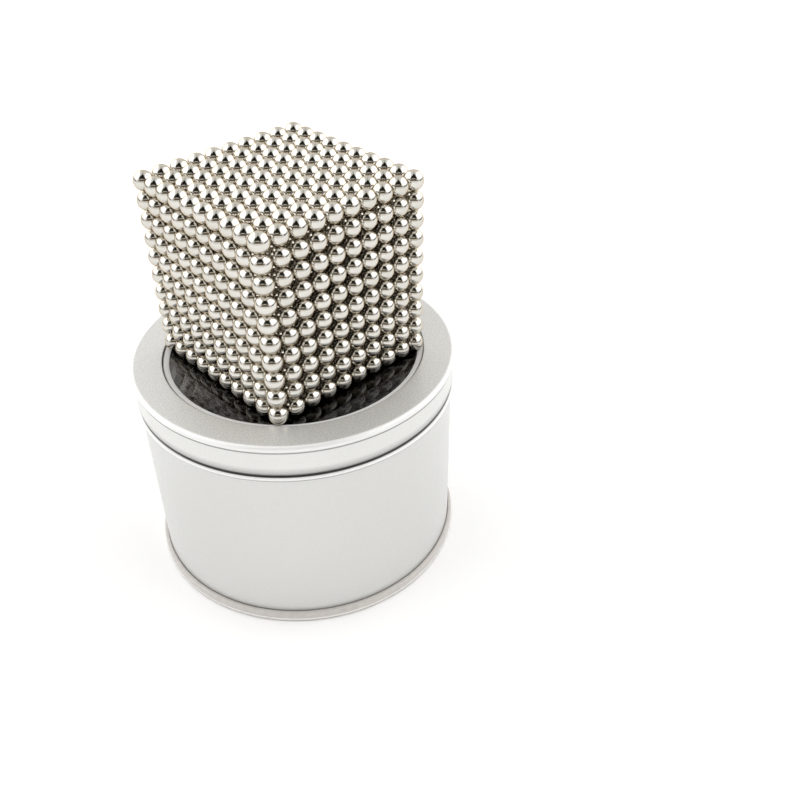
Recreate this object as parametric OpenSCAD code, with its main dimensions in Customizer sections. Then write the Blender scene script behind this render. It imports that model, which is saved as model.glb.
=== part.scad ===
// Magnetic ball cube on its round window tin.
// Millimetres, +Z up, origin at the middle of the tin's foot.
// The cube's faces are parallel to the X and Y axes.

/* [Balls] */
// Diameter of one magnetic ball
ball_d = 4.95; // [4.7:0.01:4.97]
// Distance between the centres of neighbouring balls
ball_pitch = 5; // [5:0.05:5.1]

/* [Tin] */
// Height of the closed tin
tin_h = 60; // [58:0.5:70]
// Outer radius of the can wall
wall_r = 42; // [42:0.5:46]
// Thickness of the pressed sheet metal
sheet_t = 0.25; // [0.2:0.01:0.28]
// How far the lid and the can's bead stand out past the wall
overhang = 0.7; // [0.65:0.01:0.75]
// Height of the double seam around the foot
seam_h = 3.1; // [2.9:0.1:3.5]
// How far the double seam stands out past the wall
seam_out = 1.2; // [1:0.1:1.6]

/* [Lid] */
// Height of the lid's skirt
skirt_h = 9; // [8:0.5:12]
// Radius of the window that shows inside the lid's lip
window_r = 32.8; // [32.7:0.1:33.2]
// Thickness of the clear window
window_t = 0.5; // [0.3:0.05:0.6]
// Depth of the window below the lid's top
window_drop = 1.1; // [1:0.05:1.3]

/* [Foam] */
// Width of the square pocket that stores the cube
pocket_w = 52; // [51:0.5:54]
// Thickness of the pad under the pocket
pad_t = 3; // [2:0.5:4]

/* [Hidden] */
edge_count = 10;
row_count = edge_count - 1;
layer_count = edge_count - 1;
ball_fn = 48;
turn_fn = 180;
arc_fn = 48;
running_gap = 0.05;
rest_gap = 0.025;
cut_past = 1;

// Lid
lid_r = wall_r + overhang;
rim_r = 0.9;
rim_centre_r = lid_r - rim_r;
rim_centre_z = tin_h - rim_r;
skirt_step = 0.15;
skirt_r = lid_r - skirt_step;
hem_r = 0.3;
hem_z = tin_h - skirt_h + hem_r;
window_top = tin_h - window_drop;
window_bottom = window_top - window_t;
lip_w = 1.6;
lip_rise = 0.55;
lip_out_r = window_r + lip_w;
lip_top = window_top + lip_rise;
lip_edge = 0.15;
lip_gap = 0.02;

// Window pane and the ring that holds it up against the lip
pane_margin = 1.4;
pane_r = lip_out_r + pane_margin;
ring_setback = 0.8;
ring_in_r = window_r + ring_setback;
ring_margin = 0.7;
ring_out_r = pane_r + ring_margin;
ring_t = 0.3;

// Can
bead_r = overhang;
bead_drop = 1;
bead_z = tin_h - skirt_h - bead_drop;
neck_in = 0.2;
neck_r = wall_r - neck_in;
curl_r = 0.4;
curl_z = tin_h - sheet_t - running_gap - curl_r;
foot_lift = 0.45;

// Bottom end with its double seam
seam_r = wall_r + seam_out;
seam_round = 0.5;
seam_base_t = 0.4;
channel_w = 0.7;
channel_in_r = wall_r - channel_w;
chuck_t = 0.3;
chuck_in_r = channel_in_r - chuck_t;
chuck_round = 0.1;
web_overlap = 0.1;
bottom_panel_top = 2.4;

// Foam
foam_gap = 0.35;
foam_r = wall_r - sheet_t - foam_gap;
pad_bottom = bottom_panel_top + running_gap;
foam_bottom = pad_bottom + pad_t + running_gap;
liner_gap = 0.6;
foam_top = window_bottom - ring_t - liner_gap;
pocket_round = 2;

// Balls
first_ball = -(edge_count - 1) / 2;
ball_floor = window_top + rest_gap + ball_d / 2;
top_level = edge_count - 1;

function numbered(word, n) = str(word, "_", n < 10 ? "0" : "", n);

// A filled rectangle in the turning profile, given by its radii and heights.
module band(r_from, r_to, z_from, z_to) {
    translate([r_from, z_from]) square([r_to - r_from, z_to - z_from]);
}

// A filled round in the turning profile.
module round_at(r, z, radius) {
    translate([r, z]) circle(r = radius, $fn = arc_fn);
}

// A rectangle whose four corners are rounded with arcs.
module rounded_band(r_from, r_to, z_from, z_to, radius) {
    band(r_from + radius, r_to - radius, z_from, z_to);
    band(r_from, r_to, z_from + radius, z_to - radius);
    for (r = [r_from + radius, r_to - radius], z = [z_from + radius, z_to - radius])
        round_at(r, z, radius);
}

// Can wall: foot inside the seam, straight wall, pressed bead, neck and curled mouth.
module can_wall_profile() {
    difference() {
        union() {
            band(wall_r - sheet_t, wall_r, foot_lift, bead_z);
            round_at(wall_r, bead_z, bead_r);
        }
        round_at(wall_r, bead_z, bead_r - sheet_t);
        band(0, wall_r - sheet_t, foot_lift, tin_h);
    }
    polygon([
        [wall_r, bead_z + bead_r - sheet_t],
        [wall_r, bead_z + bead_r],
        [neck_r, bead_z + bead_r + sheet_t],
        [neck_r - sheet_t, bead_z + bead_r + sheet_t],
        [neck_r - sheet_t, bead_z + bead_r]
    ]);
    band(neck_r - sheet_t, neck_r, bead_z + bead_r, curl_z);
    round_at(neck_r - curl_r, curl_z, curl_r);
}

module can_body() {
    color("gainsboro") rotate_extrude($fn = turn_fn) can_wall_profile();
}

// Bottom end: raised panel, chuck wall, foot web and the rolled double seam.
module can_bottom() {
    color("silver") rotate_extrude($fn = turn_fn) {
        band(0, channel_in_r, bottom_panel_top - sheet_t, bottom_panel_top);
        rounded_band(chuck_in_r, channel_in_r, 0, bottom_panel_top, chuck_round);
        band(channel_in_r - web_overlap, seam_r - seam_round, 0, seam_base_t);
        rounded_band(wall_r + running_gap, seam_r, 0, seam_h, seam_round);
    }
}

module foam_pad() {
    color("dimgray") translate([0, 0, pad_bottom]) cylinder(r = foam_r, h = pad_t, $fn = turn_fn);
}

// Foam liner: a round block with a square pocket whose corners are rounded.
module foam_liner() {
    foam_h = foam_top - foam_bottom;
    corner = pocket_w / 2 - pocket_round;
    color("black") difference() {
        translate([0, 0, foam_bottom]) cylinder(r = foam_r, h = foam_h, $fn = turn_fn);
        translate([0, 0, foam_bottom - cut_past]) linear_extrude(foam_h + 2 * cut_past) {
            square([pocket_w, 2 * corner], center = true);
            square([2 * corner, pocket_w], center = true);
            for (x = [-corner, corner], y = [-corner, corner])
                translate([x, y]) circle(r = pocket_round, $fn = arc_fn);
        }
    }
}

// Lid: flat panel, rolled rim, skirt with its hem, and the stepped lip around the window.
module lid_profile() {
    difference() {
        union() {
            band(lip_out_r, rim_centre_r, rim_centre_z, tin_h);
            round_at(rim_centre_r, rim_centre_z, rim_r);
            band(rim_centre_r, skirt_r, hem_z, rim_centre_z);
        }
        band(lip_out_r + sheet_t, rim_centre_r, hem_z, tin_h - sheet_t);
        round_at(rim_centre_r, rim_centre_z, rim_r - sheet_t);
        band(rim_centre_r - cut_past, skirt_r - sheet_t, hem_z - hem_r, rim_centre_z);
    }
    round_at(lid_r - hem_r, hem_z, hem_r);
    polygon([
        [window_r, window_top + lip_gap],
        [window_r + 2 * lip_edge, window_top + lip_gap],
        [lip_out_r + sheet_t / 2, lip_top - sheet_t],
        [lip_out_r + sheet_t / 2, lip_top],
        [window_r + lip_edge, window_top + lip_edge]
    ]);
}

module lid_shell() {
    color("gainsboro") rotate_extrude($fn = turn_fn) lid_profile();
}

module window_pane() {
    color("lightcyan", 0.4) translate([0, 0, window_bottom])
        cylinder(r = pane_r, h = window_t, $fn = turn_fn);
}

// Retaining ring: a flange under the pane and a wall that reaches up to the lid's panel.
module window_ring() {
    flange_top = window_bottom - rest_gap;
    color("silver") rotate_extrude($fn = turn_fn) {
        band(ring_in_r, ring_out_r, flange_top - ring_t, flange_top);
        band(ring_out_r - ring_t, ring_out_r, flange_top - ring_t, tin_h - sheet_t - running_gap);
    }
}

// One ball, by its place along X and Y and its level, each counted from 0.
module ball_at(i, j, level) {
    place = [first_ball + i, first_ball + j, level] * ball_pitch;
    translate(place + [0, 0, ball_floor]) sphere(d = ball_d, $fn = ball_fn);
}

// A full square layer of balls.
module ball_layer(level) {
    color("lightgray") for (i = [0 : edge_count - 1], j = [0 : edge_count - 1])
        ball_at(i, j, level);
}

// A straight row of balls along X in the top layer.
module ball_row(j) {
    color("silver") for (i = [0 : edge_count - 1])
        ball_at(i, j, top_level);
}

// A single ball of the top layer's first row.
module single_ball(i) {
    color("whitesmoke") ball_at(i, 0, top_level);
}

can_body();
can_bottom();
foam_pad();
foam_liner();
lid_shell();
window_pane();
window_ring();
for (n = [1 : layer_count])
    ball_layer(n - 1);
for (n = [1 : row_count])
    ball_row(n);
for (n = [1 : edge_count])
    single_ball(n - 1);
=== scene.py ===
"""Looks of the magnetic ball cube on its window tin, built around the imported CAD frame."""

import math
import bpy
from mathutils import Matrix, Vector


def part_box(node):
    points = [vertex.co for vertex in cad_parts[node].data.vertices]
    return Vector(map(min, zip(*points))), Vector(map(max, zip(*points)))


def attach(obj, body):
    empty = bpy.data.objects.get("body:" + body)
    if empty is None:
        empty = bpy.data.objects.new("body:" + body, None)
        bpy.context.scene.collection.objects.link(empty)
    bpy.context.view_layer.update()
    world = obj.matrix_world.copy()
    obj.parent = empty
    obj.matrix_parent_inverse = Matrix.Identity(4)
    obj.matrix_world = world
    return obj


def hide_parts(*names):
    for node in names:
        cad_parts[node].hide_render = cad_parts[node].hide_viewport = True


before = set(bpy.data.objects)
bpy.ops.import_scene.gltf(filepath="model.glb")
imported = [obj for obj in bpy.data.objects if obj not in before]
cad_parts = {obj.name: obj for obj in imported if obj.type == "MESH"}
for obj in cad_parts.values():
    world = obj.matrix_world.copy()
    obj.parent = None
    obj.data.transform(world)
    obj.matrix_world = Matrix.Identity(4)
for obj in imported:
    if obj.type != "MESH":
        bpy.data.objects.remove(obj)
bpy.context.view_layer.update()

MM = 0.001
SEGMENTS = 384

# Where the CAD pieces are at rest: the lowest and the highest corner of each.
can_low, can_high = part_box("can_body")
end_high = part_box("can_bottom")[1]
lid_low, lid_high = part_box("lid_shell")
pane_low, pane_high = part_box("window_pane")
ring_low, ring_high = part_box("window_ring")
liner_low, liner_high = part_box("foam_liner")
pad_low, pad_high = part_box("foam_pad")
ball_low, ball_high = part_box("ball_01")

# Tinware sizes that the boxes don't give, as in the CAD model.
SHEET = 0.25 * MM
WALL_R = 42.0 * MM
NECK_R = 41.8 * MM
WINDOW_R = 32.8 * MM
LIP_OUT_R = 34.4 * MM
POCKET_W = 52.0 * MM
BALL_PITCH = 5.0 * MM
LID_R = lid_high.x
LID_TOP = lid_high.z
BEAD_R = 0.42 * MM
BEAD_OUT = 0.28 * MM
BEAD_Z = lid_low.z - 0.85 * MM


# ---------------------------------------------------------------- mesh helpers

def arc(centre_r, centre_z, radius, start, end, steps=10):
    """Points of a round stretch of profile, from start to end in degrees, both included."""
    points = []
    for k in range(steps + 1):
        turn = math.radians(start + (end - start) * k / steps)
        points.append((centre_r + radius * math.cos(turn), centre_z + radius * math.sin(turn)))
    return points


def finish_mesh(name, verts, faces, sharp_degrees=40):
    """A smooth-shaded object from points and faces, with its normals turned outwards."""
    mesh = bpy.data.meshes.new(name)
    mesh.from_pydata(verts, [], faces)
    mesh.validate()
    piece = bpy.data.objects.new(name, mesh)
    bpy.context.scene.collection.objects.link(piece)
    bpy.context.view_layer.objects.active = piece
    piece.select_set(True)
    bpy.ops.object.mode_set(mode="EDIT")
    bpy.ops.mesh.select_all(action="SELECT")
    bpy.ops.mesh.normals_make_consistent(inside=False)
    bpy.ops.object.mode_set(mode="OBJECT")
    piece.select_set(False)
    mesh.shade_smooth()
    mesh.set_sharp_from_angle(angle=math.radians(sharp_degrees))
    return piece


def lathe(name, profile, segments=SEGMENTS, bulge=None):
    """Turns a closed profile of (r, z) points round Z. bulge(turn, r, z) may push a point outwards."""
    verts, rows = [], []
    for r, z in profile:
        if r < 1e-7:
            verts.append((0.0, 0.0, z))
            rows.append([len(verts) - 1] * segments)
            continue
        row = []
        for s in range(segments):
            turn = 2 * math.pi * s / segments
            out = r + (bulge(turn, r, z) if bulge else 0.0)
            row.append(len(verts))
            verts.append((out * math.cos(turn), out * math.sin(turn), z))
        rows.append(row)
    faces = []
    for here, there in zip(rows, rows[1:] + rows[:1]):
        for s in range(segments):
            t = (s + 1) % segments
            corners = [here[s], here[t], there[t], there[s]]
            face = [c for k, c in enumerate(corners) if c not in corners[:k]]
            if len(face) > 2:
                faces.append(face)
    return finish_mesh(name, verts, faces)


# ---------------------------------------------------------------- the tin

def side_seam(turn, r, z):
    """How far the welded lap up the back of the can wall stands out at a point."""
    seam_turn = math.radians(50)
    half_width = 1.6 * MM
    height = 0.12 * MM
    edge = 0.12 * MM
    off = abs((turn - seam_turn + math.pi) % (2 * math.pi) - math.pi) * WALL_R
    inside_ends = can_low.z + 3.4 * MM < z < BEAD_Z - 1.2 * MM and r > WALL_R - 0.1 * MM
    if not inside_ends:
        return 0.0
    return height * (0.5 - 0.5 * math.tanh((off - half_width) / edge))


def make_can_wall():
    """The straight wall, the bead the lid comes down to, the neck inside the lid and the curled mouth."""
    low = can_low.z
    inner = WALL_R - SHEET
    neck_in = NECK_R - SHEET
    curl_r = 0.4 * MM
    curl_z = can_high.z - curl_r
    bead_foot = BEAD_Z - BEAD_R
    bead_head = BEAD_Z + BEAD_R
    wall_rows = 24
    profile = [(inner, low), (WALL_R, low)]
    profile += [(WALL_R, low + (bead_foot - low) * k / wall_rows) for k in range(1, wall_rows)]
    profile += [(WALL_R, bead_foot - 0.2 * MM), (WALL_R + 0.05 * MM, bead_foot - 0.05 * MM)]
    profile += arc(WALL_R + BEAD_OUT, BEAD_Z, BEAD_R, -84, 84, 22)
    profile += [(NECK_R, bead_head + 0.25 * MM), (NECK_R, BEAD_Z + 2.0 * MM), (NECK_R, curl_z)]
    profile += arc(NECK_R - curl_r, curl_z, curl_r, 0, 262, 24)
    profile += [(neck_in, curl_z - curl_r), (neck_in, bead_head + 0.1 * MM)]
    profile += arc(WALL_R, BEAD_Z, BEAD_R - SHEET, 50, -50, 12)
    profile += [(inner, bead_foot), (inner, low + 2 * MM)]
    return lathe("can_wall", profile, SEGMENTS * 2, side_seam)


def make_can_end():
    """The bottom end: its double seam, which is the foot, the chuck wall inside it and the panel."""
    top = end_high.z
    seam_r = end_high.x
    seam_in = WALL_R + 0.05 * MM
    foot_gap = 0.4 * MM
    panel_round = 0.15 * MM
    foot_round = 0.3 * MM
    chuck_out = WALL_R - 0.7 * MM
    chuck_in = chuck_out - foot_round
    panel_top = 2.4 * MM
    panel_low = panel_top - SHEET
    round_r = 0.5 * MM
    shoulder = 0.32 * MM

    def pressed(r):
        """How far the end panel sinks at a radius: two shallow rings are pressed into it."""
        depth = 0.0
        for ring_r in (22 * MM, 34 * MM):
            depth += 0.5 * MM * math.exp(-(((r - ring_r) / (1.1 * MM)) ** 2))
        return -depth

    radii = [chuck_in * k / 70 for k in range(70, -1, -1)]
    upper = [(r, panel_top + pressed(r)) for r in radii]
    lower = [(r, panel_low + pressed(r)) for r in reversed(radii)]
    profile = arc(seam_r - round_r, round_r, round_r, -90, 0, 8)
    profile += [(seam_r, 1.1 * MM), (seam_r, 1.6 * MM), (seam_r - 0.03 * MM, 2.2 * MM)]
    profile += arc(seam_r - round_r, top - round_r, round_r, 0, 90, 8)
    profile += arc(seam_in + shoulder, top - shoulder, shoulder, 90, 180, 6)
    profile += [(seam_in, foot_gap), (chuck_out, foot_gap), (chuck_out, panel_top - panel_round)]
    profile += arc(chuck_out - panel_round, panel_top - panel_round, panel_round, 0, 90, 4)
    profile += upper + lower
    profile += [(chuck_in, panel_low)]
    profile += arc(chuck_in + foot_round, foot_round, foot_round, 180, 270, 6)
    return lathe("can_end", profile, SEGMENTS)


def make_lid():
    """The lid: a sloped lip round the window, a flat ring, a rolled rim and a skirt with a tucked hem."""
    top = LID_TOP
    low = lid_low.z
    rim_r = 0.9 * MM
    rim_centre_r = LID_R - rim_r
    rim_centre_z = top - rim_r
    skirt_r = LID_R - 0.3 * MM
    skirt_in = skirt_r - SHEET
    tuck_r = 2.2 * MM
    tuck_z = low + 1.45 * MM
    fold_r = 0.16 * MM
    lip_top = pane_high.z + 0.55 * MM
    step_in = LIP_OUT_R + SHEET
    step_r = 0.3 * MM
    profile = arc(WINDOW_R + 0.1 * MM, pane_high.z + 0.12 * MM, 0.1 * MM, 250, 110, 6)
    profile += [(WINDOW_R + 0.6 * MM, pane_high.z + 0.36 * MM), (WINDOW_R + 1.1 * MM, lip_top - 0.06 * MM)]
    profile += [(LIP_OUT_R - 0.1 * MM, lip_top - 0.02 * MM), (LIP_OUT_R, lip_top + 0.1 * MM)]
    profile += arc(LIP_OUT_R + step_r, top - step_r, step_r, 180, 90, 8)
    profile += [(LIP_OUT_R + 1.0 * MM, top), (LID_R - 2.4 * MM, top), (rim_centre_r - 0.4 * MM, top)]
    profile += arc(rim_centre_r, rim_centre_z, rim_r, 90, -50, 22)
    profile += [(skirt_r, rim_centre_z - rim_r - 0.05 * MM)]
    straight = rim_centre_z - rim_r - 0.2 * MM - tuck_z
    profile += [(skirt_r, tuck_z + straight * k / 10) for k in range(9, 0, -1)]
    tuck = arc(skirt_r - tuck_r, tuck_z, tuck_r, 0, -34, 12)
    profile += tuck
    fold_centre_r = tuck[-1][0] - fold_r
    fold_centre_z = tuck[-1][1] - 0.02 * MM
    profile += arc(fold_centre_r, fold_centre_z, fold_r, -30, -180, 8)
    profile += [(skirt_in, tuck_z + 0.4 * MM), (skirt_in, rim_centre_z - 0.6 * MM)]
    profile += arc(rim_centre_r, rim_centre_z, rim_r - SHEET, -30, 90, 12)
    profile += [(step_in, top - SHEET), (step_in, lip_top - SHEET)]
    profile += [(LIP_OUT_R - 0.1 * MM, lip_top - SHEET), (WINDOW_R + 0.6 * MM, pane_high.z + 0.05 * MM)]
    return lathe("lid", profile, SEGMENTS * 2)


def make_window():
    """The clear disc, with rounded edges."""
    edge = 0.08 * MM
    r = pane_high.x
    profile = [(0, pane_low.z), (r * 0.5, pane_low.z)]
    profile += arc(r - edge, pane_low.z + edge, edge, -90, 0, 4)
    profile += arc(r - edge, pane_high.z - edge, edge, 0, 90, 4)
    profile += [(r * 0.5, pane_high.z), (0, pane_high.z)]
    return lathe("window", profile)


def make_window_ring():
    """The pressed ring that holds the pane up: a flat flange with a turned-up outer wall."""
    out_r = ring_high.x
    in_r = WINDOW_R + 0.8 * MM
    thick = 0.3 * MM
    low = ring_low.z
    bend = 0.2 * MM
    profile = arc(in_r + 0.15 * MM, low + thick / 2, thick / 2, 270, 90, 8)
    profile += [(out_r - thick - 0.02 * MM, low + thick)]
    profile += arc(out_r - thick / 2, ring_high.z - thick / 2, thick / 2, 180, 0, 8)
    profile += arc(out_r - bend, low + bend, bend, 0, -90, 6)
    return lathe("window_clamp", profile)


# ---------------------------------------------------------------- foam

def rounded_square(half, corner, steps=10):
    """Points of a square with rounded corners, anticlockwise from +X."""
    points = []
    for quarter in range(4):
        start = quarter * 90
        sx = 1 if quarter in (0, 3) else -1
        sy = 1 if quarter in (0, 1) else -1
        for k in range(steps + 1):
            turn = math.radians(start + 90 * k / steps)
            points.append((sx * (half - corner) + corner * math.cos(turn),
                           sy * (half - corner) + corner * math.sin(turn)))
    return points


def make_foam_liner():
    """The foam block with its square pocket and softened edges.

    Every loop has points at the pocket's four corners only, so the block's outside is straight between
    them: it is a square block with its corners on the liner's radius, where the CAD liner is round.
    """
    half = POCKET_W / 2
    corner = 2.0 * MM
    soft = 0.5 * MM
    inner = rounded_square(half, corner)
    count = len(inner)
    outer_r = liner_high.x
    low, high = liner_low.z, liner_high.z

    def ring(points, z):
        return [(x, y, z) for x, y in points]

    def circle(radius, z):
        """Points on a circle, in line with the pocket's corner points."""
        out = []
        for x, y in inner:
            turn = math.atan2(y, x)
            out.append((radius * math.cos(turn), radius * math.sin(turn), z))
        return out

    def widened(extra):
        return rounded_square(half + extra, corner + extra)

    turns = [math.radians(90 * k / 4) for k in range(5)]
    loops = [ring(inner, low + soft), ring(inner, high - soft)]
    for turn in turns[1:]:
        loops.append(ring(widened(soft * (1 - math.cos(turn))), high - soft + soft * math.sin(turn)))
    for turn in turns:
        loops.append(circle(outer_r - soft + soft * math.sin(turn), high - soft + soft * math.cos(turn)))
    for turn in turns:
        loops.append(circle(outer_r - soft + soft * math.cos(turn), low + soft - soft * math.sin(turn)))
    loops.append(ring(widened(soft), low))
    verts = [v for loop in loops for v in loop]
    faces = []
    for a in range(len(loops)):
        b = (a + 1) % len(loops)
        for k in range(count):
            n = (k + 1) % count
            faces.append((a * count + k, a * count + n, b * count + n, b * count + k))
    return finish_mesh("foam_block", verts, faces, 50)


def make_foam_pad():
    """The foam disc under the pocket."""
    soft = 0.5 * MM
    r = pad_high.x
    low, high = pad_low.z, pad_high.z
    profile = [(0, low), (r * 0.5, low)]
    profile += arc(r - soft, low + soft, soft, -90, 0, 5)
    profile += arc(r - soft, high - soft, soft, 0, 90, 5)
    profile += [(r * 0.5, high), (0, high)]
    return lathe("foam_base", profile)


# ---------------------------------------------------------------- materials

class Nodes:
    """A material's node tree, with a short way to add and join its nodes."""

    def __init__(self, name):
        self.material = bpy.data.materials.new(name)
        self.material.use_nodes = True
        self.tree = self.material.node_tree
        self.shader = self.tree.nodes["Principled BSDF"]

    def add(self, kind, **settings):
        node = self.tree.nodes.new(kind)
        for key, value in settings.items():
            setattr(node, key, value)
        return node

    def join(self, source, target):
        self.tree.links.new(source, target)

    def place(self):
        """The point on the object, in metres."""
        return self.add("ShaderNodeTexCoord").outputs["Object"]

    def noise(self, scale, detail=2.0, rough=0.5):
        node = self.add("ShaderNodeTexNoise")
        node.inputs["Scale"].default_value = scale
        node.inputs["Detail"].default_value = detail
        node.inputs["Roughness"].default_value = rough
        self.join(self.place(), node.inputs["Vector"])
        return node.outputs["Fac"]

    def ramp(self, value, low, high, start=0.3, end=0.7):
        """Turns a 0 to 1 value into a colour between two."""
        node = self.add("ShaderNodeValToRGB")
        node.color_ramp.elements[0].position = start
        node.color_ramp.elements[0].color = (*low, 1)
        node.color_ramp.elements[1].position = end
        node.color_ramp.elements[1].color = (*high, 1)
        self.join(value, node.inputs["Fac"])
        return node.outputs["Color"]

    def span(self, value, low, high, from_low=0.3, from_high=0.7):
        node = self.add("ShaderNodeMapRange")
        node.inputs["From Min"].default_value = from_low
        node.inputs["From Max"].default_value = from_high
        node.inputs["To Min"].default_value = low
        node.inputs["To Max"].default_value = high
        self.join(value, node.inputs["Value"])
        return node.outputs["Result"]

    def bump(self, height, distance, strength=1.0):
        node = self.add("ShaderNodeBump")
        node.inputs["Distance"].default_value = distance
        node.inputs["Strength"].default_value = strength
        self.join(height, node.inputs["Height"])
        self.join(node.outputs["Normal"], self.shader.inputs["Normal"])

    def radius(self):
        """Distance from the tin's axis."""
        flat = self.add("ShaderNodeVectorMath", operation="MULTIPLY")
        self.join(self.place(), flat.inputs[0])
        flat.inputs[1].default_value = (1, 1, 0)
        length = self.add("ShaderNodeVectorMath", operation="LENGTH")
        self.join(flat.outputs[0], length.inputs[0])
        return length.outputs["Value"]

    def height(self):
        """Height above the floor at rest."""
        parts = self.add("ShaderNodeSeparateXYZ")
        self.join(self.place(), parts.inputs[0])
        return parts.outputs["Z"]

    def sum(self, operation, first, second):
        """A sum on two values, each a socket or a number."""
        node = self.add("ShaderNodeMath", operation=operation)
        for socket, value in zip(node.inputs, (first, second)):
            if isinstance(value, (int, float)):
                socket.default_value = value
            else:
                self.join(value, socket)
        return node.outputs[0]

    def between(self, value, low, high, soft):
        """1 where a value lies between two limits, 0 outside them, with soft edges."""
        rise = self.span(value, 0, 1, low - soft, low)
        fall = self.span(value, 1, 0, high, high + soft)
        return self.sum("MULTIPLY", rise, fall)

    def blend(self, amount, first, second):
        """A colour between two, each a socket or a colour."""
        node = self.add("ShaderNodeMix", data_type="RGBA")
        self.join(amount, node.inputs["Factor"])
        for socket, value in ((node.inputs[6], first), (node.inputs[7], second)):
            if isinstance(value, tuple):
                socket.default_value = (*value, 1)
            else:
                self.join(value, socket)
        return node.outputs[2]


LACQUER_METALLIC = 0.55
# Near-white colour painted on as a highlight on rolled edges and across the end seam.
PAINTED_HIGHLIGHT = (0.97, 0.97, 0.97)
SPECKLE = (0.40, 0.39, 0.36)
# Near-black colour painted on as shade in grooves and under edges.
GROOVE_SHADE = (0.05, 0.05, 0.042)


def lacquered_tin(name, low, high, highlight_bands, shade_bands, speckled_bands=()):
    """Satin pearl-silver lacquer on tinplate, with a fine sandy grain.

    It has painted highlights on rolled edges (highlight bands), where it is also less metallic, painted shade
    in grooves and under edges (shade bands), and a coarser grain where it is speckled.
    A band is (lowest radius, highest radius, lowest height, highest height, soft edge, strength).
    """
    m = Nodes(name)

    def amount_in(band):
        low_r, high_r, low_z, high_z, soft, strength = band
        ring = m.between(m.radius(), low_r, high_r, soft)
        level = m.between(m.height(), low_z, high_z, soft)
        return m.sum("MULTIPLY", m.sum("MULTIPLY", ring, level), strength)

    colour = m.blend(m.span(m.noise(2600, 3, 0.7), 0, 1, 0.25, 0.75), low, high)
    grain = m.noise(2200, 3, 0.7)
    for band in speckled_bands:
        colour = m.blend(m.sum("MULTIPLY", m.span(grain, 1, 0, 0.40, 0.56), amount_in(band)), colour, SPECKLE)
    metallic = LACQUER_METALLIC
    # Painted highlight: these bands are drawn near-white and made less metallic.
    for band in highlight_bands:
        amount = amount_in(band)
        colour = m.blend(amount, colour, PAINTED_HIGHLIGHT)
        metallic = m.sum("SUBTRACT", metallic, m.sum("MULTIPLY", amount, LACQUER_METALLIC))
    # Painted shade: these bands are drawn near-black in grooves, under the rim, at the hem and beside the
    # bead and seam.
    for band in shade_bands:
        colour = m.blend(amount_in(band), colour, GROOVE_SHADE)
    m.join(colour, m.shader.inputs["Base Color"])
    m.join(metallic, m.shader.inputs["Metallic"])
    m.join(m.span(m.noise(900, 2), 0.32, 0.42), m.shader.inputs["Roughness"])
    m.bump(grain, 0.03 * MM, 0.45)
    return m.material


def bare_tinplate(name):
    """The end's double seam: dull uncoated tinplate, with a painted highlight across its lower third and
    painted shade in the groove above it and along its foot.
    """
    m = Nodes(name)
    m.shader.inputs["Metallic"].default_value = 0.15
    tone = m.blend(m.span(m.noise(700, 3), 0, 1), (0.58, 0.55, 0.525), (0.64, 0.61, 0.585))
    # Painted highlight across the seam's lower third.
    seam_highlight = m.between(m.height(), 0.75 * MM, 1.0 * MM, 0.3 * MM)
    tone = m.blend(m.sum("MULTIPLY", seam_highlight, 0.7), tone, PAINTED_HIGHLIGHT)
    # Painted shade in the groove where the seam meets the wall.
    top = m.between(m.radius(), WALL_R - 0.5 * MM, WALL_R + 0.1 * MM, 0.15 * MM)
    tone = m.blend(m.sum("MULTIPLY", top, 0.32), tone, GROOVE_SHADE)
    # Painted shade along the seam's foot.
    foot = m.between(m.height(), -0.1 * MM, 0.15 * MM, 0.2 * MM)
    tone = m.blend(m.sum("MULTIPLY", foot, 0.7), tone, GROOVE_SHADE)
    m.join(tone, m.shader.inputs["Base Color"])
    m.join(m.span(m.noise(1500, 2), 0.45, 0.6), m.shader.inputs["Roughness"])
    m.bump(m.noise(2400, 2), 0.01 * MM, 0.2)
    return m.material


def nickel_balls(name):
    """Polished nickel plating. Each ball gets its own slight tint, and faint handling marks."""
    m = Nodes(name)
    m.shader.inputs["Metallic"].default_value = 1.0
    centre = (ball_low + ball_high) / 2
    snap = m.add("ShaderNodeVectorMath", operation="SNAP")
    shift = m.add("ShaderNodeVectorMath", operation="SUBTRACT")
    m.join(m.place(), shift.inputs[0])
    shift.inputs[1].default_value = [c - BALL_PITCH / 2 for c in centre]
    m.join(shift.outputs[0], snap.inputs[0])
    snap.inputs[1].default_value = (BALL_PITCH, BALL_PITCH, BALL_PITCH)
    own = m.add("ShaderNodeTexWhiteNoise")
    m.join(snap.outputs[0], own.inputs["Vector"])
    tint = m.ramp(own.outputs["Value"], (0.63, 0.61, 0.565), (0.69, 0.67, 0.63), 0.0, 1.0)
    m.join(tint, m.shader.inputs["Base Color"])
    m.shader.inputs["Specular Tint"].default_value = (0.70, 0.57, 0.40, 1)
    m.join(m.span(m.noise(500, 3), 0.01, 0.04), m.shader.inputs["Roughness"])
    return m.material


def clear_plastic(name):
    """Clear plastic sheet with faint handling marks."""
    m = Nodes(name)
    m.shader.inputs["Transmission Weight"].default_value = 1.0
    m.shader.inputs["IOR"].default_value = 1.50
    m.join(m.ramp(m.noise(60, 2), (0.97, 0.97, 0.98), (1.0, 1.0, 1.0)), m.shader.inputs["Base Color"])
    m.join(m.span(m.noise(300, 3), 0.0, 0.008, 0.45, 0.75), m.shader.inputs["Roughness"])
    return m.material


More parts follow.
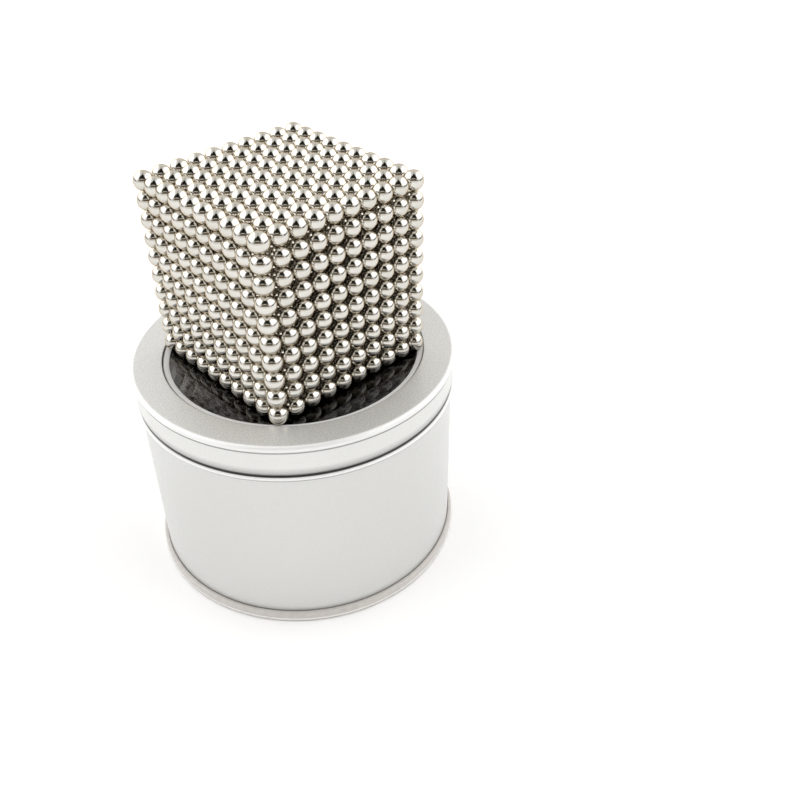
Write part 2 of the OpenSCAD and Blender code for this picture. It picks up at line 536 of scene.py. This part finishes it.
def black_foam(name):
    """Black closed-cell foam."""
    m = Nodes(name)
    cells = m.add("ShaderNodeTexVoronoi", feature="F1")
    cells.inputs["Scale"].default_value = 2600
    m.join(m.place(), cells.inputs["Vector"])
    m.join(m.ramp(cells.outputs["Distance"], (0.006, 0.006, 0.007), (0.02, 0.019, 0.02), 0.1, 0.6),
           m.shader.inputs["Base Color"])
    m.join(m.span(m.noise(800, 2), 0.85, 1.0), m.shader.inputs["Roughness"])
    m.bump(cells.outputs["Distance"], 0.12 * MM, 0.7)
    return m.material


FLOOR_GLOW = 0.08


def plain_floor(name):
    """A pale matt floor that glows a little, as a lit table does."""
    m = Nodes(name)
    m.join(m.ramp(m.noise(4, 2), (0.93, 0.93, 0.93), (0.95, 0.95, 0.95)), m.shader.inputs["Base Color"])
    m.shader.inputs["Roughness"].default_value = 0.9
    m.shader.inputs["Emission Color"].default_value = (1, 1, 1, 1)
    m.shader.inputs["Emission Strength"].default_value = FLOOR_GLOW
    return m.material


def dress(piece, material):
    piece.data.materials.clear()
    piece.data.materials.append(material)
    return piece


def settle(piece, node, body, material):
    """Gives a new piece its material and its body, and hides the CAD node that it stands for."""
    dress(piece, material)
    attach(piece, body)
    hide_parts(node)


# Bands on the tin (see lacquered_tin): painted highlights on the rim, the window lip and the bead, painted
# shade in grooves and under edges, and speckled grain on the flat ring. A limit of WHOLE is past the object's
# edge.
WHOLE = 1.0
ring_face = (LIP_OUT_R, LID_R - 1.0 * MM, LID_TOP - 0.3 * MM, WHOLE, 0.2 * MM, 0.34)
rim_highlight = (LID_R - 0.8 * MM, WHOLE, LID_TOP - 1.3 * MM, WHOLE, 0.3 * MM, 0.6)
under_rim_shade = (LID_R - 0.6 * MM, WHOLE, LID_TOP - 1.95 * MM, LID_TOP - 1.7 * MM, 0.15 * MM, 0.6)
hem_shade = (LID_R - 1.5 * MM, WHOLE, 0, lid_low.z + 0.1 * MM, 2.6 * MM, 0.6)
hem_shade_line = (LID_R - 1.5 * MM, WHOLE, 0, lid_low.z + 0.05 * MM, 0.25 * MM, 0.5)
step_shade = (LIP_OUT_R - 0.1 * MM, LIP_OUT_R + 0.1 * MM, 0, WHOLE, 0.2 * MM, 0.8)
lip_highlight = (0, LIP_OUT_R - 0.45 * MM, 0, WHOLE, 0.15 * MM, 0.8)
bead_highlight = (WALL_R + 0.2 * MM, WHOLE, BEAD_Z + 0.05 * MM, BEAD_Z + BEAD_R, 0.1 * MM, 1.0)
under_bead_shade = (WALL_R - 0.1 * MM, WALL_R + 0.1 * MM, BEAD_Z - 0.95 * MM, BEAD_Z - 0.6 * MM, 0.1 * MM, 0.5)
over_bead_shade = (WALL_R - 0.5 * MM, WALL_R + 0.15 * MM, BEAD_Z + 0.35 * MM, BEAD_Z + 1.5 * MM, 0.1 * MM, 0.9)
over_seam_shade = (WALL_R - 0.1 * MM, WHOLE, 0, end_high.z + 0.02 * MM, 0.12 * MM, 0.25)

lid_coat = lacquered_tin("lid_lacquer", (0.71, 0.71, 0.695), (0.78, 0.78, 0.77),
                         [rim_highlight, lip_highlight], [under_rim_shade, hem_shade, hem_shade_line, step_shade], [ring_face])
wall_coat = lacquered_tin("wall_lacquer", (0.64, 0.64, 0.63), (0.70, 0.70, 0.69),
                          [bead_highlight], [under_bead_shade, over_bead_shade, over_seam_shade])
tinplate = bare_tinplate("bare_tinplate")
foam = black_foam("closed_cell_foam")
plastic = clear_plastic("window_plastic")
nickel = nickel_balls("polished_nickel")

settle(make_can_wall(), "can_body", "tin", wall_coat)
settle(make_can_end(), "can_bottom", "tin", tinplate)
settle(make_foam_pad(), "foam_pad", "tin", foam)
settle(make_foam_liner(), "foam_liner", "tin", foam)
settle(make_lid(), "lid_shell", "lid", lid_coat)
settle(make_window(), "window_pane", "lid", plastic)
settle(make_window_ring(), "window_ring", "lid", tinplate)

for node_name, node_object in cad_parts.items():
    if node_name.startswith("ball_"):
        node_object.material_slots[0].material = nickel


# ---------------------------------------------------------------- stage, light and camera

def make_floor():
    half = 3.0
    corners = [(-half, -half, 0), (half, -half, 0), (half, half, 0), (-half, half, 0)]
    floor = finish_mesh("floor", corners, [(0, 1, 2, 3)])
    dress(floor, plain_floor("floor_paint"))


# The camera's place, and which way it looks: degrees clockwise from +Y, down from level, and roll.
CAMERA_PLACE = Vector((-116.0, -162.5, 190.0)) * MM
CAMERA_TURN = 43.59
CAMERA_PITCH = 36.93
CAMERA_ROLL = -0.66
CAMERA_LENS = 39.88


def make_camera():
    camera_data = bpy.data.cameras.new("camera")
    camera_data.lens = CAMERA_LENS
    camera_data.sensor_width = 36.0
    camera_data.clip_start = 0.01
    camera = bpy.data.objects.new("camera", camera_data)
    bpy.context.scene.collection.objects.link(camera)
    turn = Matrix.Rotation(math.radians(-CAMERA_TURN), 4, "Z")
    tilt = Matrix.Rotation(math.radians(90 - CAMERA_PITCH), 4, "X")
    roll = Matrix.Rotation(math.radians(CAMERA_ROLL), 4, "Z")
    camera.matrix_world = Matrix.Translation(CAMERA_PLACE) @ turn @ tilt @ roll
    bpy.context.scene.camera = camera


def direction(turn, height):
    """A unit vector: turn in degrees clockwise from +Y seen from above, height above level."""
    level = math.cos(math.radians(height))
    return Vector((level * math.sin(math.radians(turn)), level * math.cos(math.radians(turn)),
                   math.sin(math.radians(height))))


def make_fill_light(name, turn, height, distance, size, power):
    """A square light that faces the object and doesn't show in gloss."""
    middle = Vector((0, 0, 0.06))
    light_data = bpy.data.lights.new(name, "AREA")
    light_data.shape = "SQUARE"
    light_data.size = size
    light_data.energy = power
    light = bpy.data.objects.new(name, light_data)
    bpy.context.scene.collection.objects.link(light)
    aim = direction(turn, height)
    light.location = middle + aim * distance
    light.rotation_euler = (-aim).to_track_quat("-Z", "Y").to_euler()
    light.visible_camera = False
    light.visible_glossy = False


# What the balls mirror: a pale tent with a dark flag at each side, a grey strut, the dark front opening that
# the camera looks in through, the table's edge and a card below it, and two tall softboxes, drawn in this
# order. Each shape is an ellipse on the face of a mirror ball of radius 1, as (right, up, half width, half
# height), and its light.
TENT_SHAPES = {
    "left_flag": ((-0.84, 0.02, 0.20, 0.42), (0.12, 0.12, 0.12)),
    "right_flag": ((0.82, 0.05, 0.23, 0.48), (0.05, 0.05, 0.05)),
    "strut": ((0.00, 0.46, 0.08, 0.24), (0.62, 0.61, 0.57)),
    "opening": ((0.00, 0.09, 0.26, 0.20), (0.04, 0.04, 0.032)),
    "opening_top": ((0.03, 0.27, 0.11, 0.16), (0.015, 0.015, 0.012)),
    "table_edge": ((0.02, -0.13, 0.36, 0.06), (0.16, 0.12, 0.075)),
    "card": ((-0.02, 0.00, 0.17, 0.028), (0.70, 0.66, 0.60)),
    "left_softbox": ((-0.50, 0.42, 0.23, 0.36), (1.95, 1.95, 1.95)),
    "right_softbox": ((0.50, 0.42, 0.23, 0.36), (1.95, 1.95, 1.95)),
}
SHAPE_SOFTNESS = 0.35
TENT_LIGHT = (0.92, 0.91, 0.88)
BACKDROP_LIGHT = (1.30, 1.30, 1.30)


class WorldNodes:
    """The world's node tree, with short ways to do sums in it."""

    def __init__(self, world):
        self.tree = world.node_tree

    def math(self, operation, first, second=None, clamp=False):
        node = self.tree.nodes.new("ShaderNodeMath")
        node.operation = operation
        node.use_clamp = clamp
        for socket, value in zip(node.inputs, (first, second)):
            if value is None:
                continue
            if isinstance(value, (int, float)):
                socket.default_value = value
            else:
                self.tree.links.new(value, socket)
        return node.outputs[0]

    def along(self, place, axis):
        """How far the direction that is looked in points along an axis."""
        node = self.tree.nodes.new("ShaderNodeVectorMath")
        node.operation = "DOT_PRODUCT"
        node.inputs[1].default_value = axis
        self.tree.links.new(place, node.inputs[0])
        return node.outputs["Value"]

    def soft_ellipse(self, right, up, shape, softness):
        """1 inside an ellipse and 0 outside, with a soft edge."""
        centre_right, centre_up, wide, high = shape
        across = self.math("DIVIDE", self.math("SUBTRACT", right, centre_right), wide)
        upward = self.math("DIVIDE", self.math("SUBTRACT", up, centre_up), high)
        far = self.math("SQRT", self.math("ADD", self.math("MULTIPLY", across, across),
                                          self.math("MULTIPLY", upward, upward)))
        return self.math("DIVIDE", self.math("SUBTRACT", 1 + softness, far), softness, clamp=True)

    def mix(self, amount, low, high):
        node = self.tree.nodes.new("ShaderNodeMix")
        node.data_type = "RGBA"
        self.tree.links.new(amount, node.inputs["Factor"])
        for socket, value in ((node.inputs[6], low), (node.inputs[7], high)):
            if isinstance(value, tuple):
                socket.default_value = (*value, 1)
            else:
                self.tree.links.new(value, socket)
        return node.outputs[2]


def make_world():
    """A pale tent of light, open in front. The camera itself sees a plain white backdrop."""
    world = bpy.data.worlds.new("tent")
    bpy.context.scene.world = world
    world.use_nodes = True
    nodes = WorldNodes(world)
    background = world.node_tree.nodes["Background"]
    place = world.node_tree.nodes.new("ShaderNodeTexCoord").outputs["Generated"]
    back = direction(CAMERA_TURN + 180, CAMERA_PITCH)
    rightward = direction(CAMERA_TURN + 90, 0)
    upward = back.cross(rightward)
    scale = nodes.math("SQRT", nodes.math("MULTIPLY", nodes.math("ADD", nodes.along(place, back), 1.001), 2))
    right = nodes.math("DIVIDE", nodes.along(place, rightward), scale)
    up = nodes.math("DIVIDE", nodes.along(place, upward), scale)
    colour = TENT_LIGHT
    for shape, light in TENT_SHAPES.values():
        colour = nodes.mix(nodes.soft_ellipse(right, up, shape, SHAPE_SOFTNESS), colour, light)
    seen = world.node_tree.nodes.new("ShaderNodeLightPath").outputs["Is Camera Ray"]
    colour = nodes.mix(seen, colour, BACKDROP_LIGHT)
    world.node_tree.links.new(colour, background.inputs["Color"])
    background.inputs["Strength"].default_value = 1.0


make_floor()
make_camera()
make_world()
make_fill_light("fill_light", turn=CAMERA_TURN + 180 + 15, height=52, distance=0.80, size=0.45, power=1.0)
bpy.context.scene.view_settings.view_transform = "Standard"
